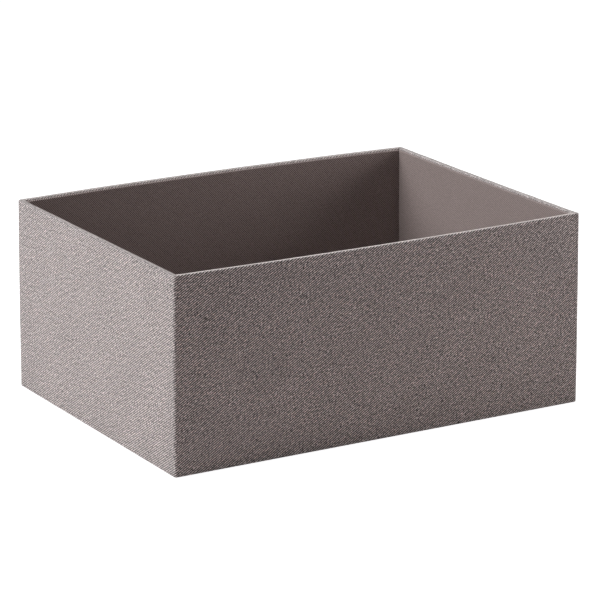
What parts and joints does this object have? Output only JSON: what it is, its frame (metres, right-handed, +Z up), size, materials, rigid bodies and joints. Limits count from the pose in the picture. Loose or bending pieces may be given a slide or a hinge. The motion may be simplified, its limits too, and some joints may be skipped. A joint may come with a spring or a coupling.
{
  "type": "storage bin",
  "caption": "Open rectangular storage bin: stiff board walls wrapped in heathered twill cloth over the rim, lined inside with covered cards.",
  "frame": {"origin": "middle of the underside, on the surface that the bin stands on", "axes": "+X along the long side to the right, the front wall faces -Y, +Z up out of the open top"},
  "size_m": [0.35, 0.254, 0.15],
  "materials": {
    "outer_cloth": "heathered twill weave of light and dark yarns, matt",
    "lining_cloth": "plain fine twill, matt",
    "greyboard": "raw pressed board",
    "lining_card": "raw smooth card",
    "stay_tape": "brown gummed paper",
    "base_sheet": "dark matt paper with a fine grain"
  },
  "bodies": {
    "root": {"front_board": "greyboard", "back_board": "greyboard", "left_board": "greyboard", "right_board": "greyboard", "base_board": "greyboard", "corner_stay_front_left": "stay_tape", "corner_stay_front_right": "stay_tape", "corner_stay_back_left": "stay_tape", "corner_stay_back_right": "stay_tape", "base_stay_front": "stay_tape", "base_stay_back": "stay_tape", "base_stay_left": "stay_tape", "base_stay_right": "stay_tape", "outer_fabric": "outer_cloth", "base_cover": "base_sheet", "lining_card_front": "lining_card", "lining_card_back": "lining_card", "lining_card_left": "lining_card", "lining_card_right": "lining_card", "floor_card": "lining_card", "lining_fabric_front": "lining_cloth", "lining_fabric_back": "lining_cloth", "lining_fabric_left": "lining_cloth", "lining_fabric_right": "lining_cloth", "floor_fabric": "lining_cloth"}
  },
  "joints": []
}
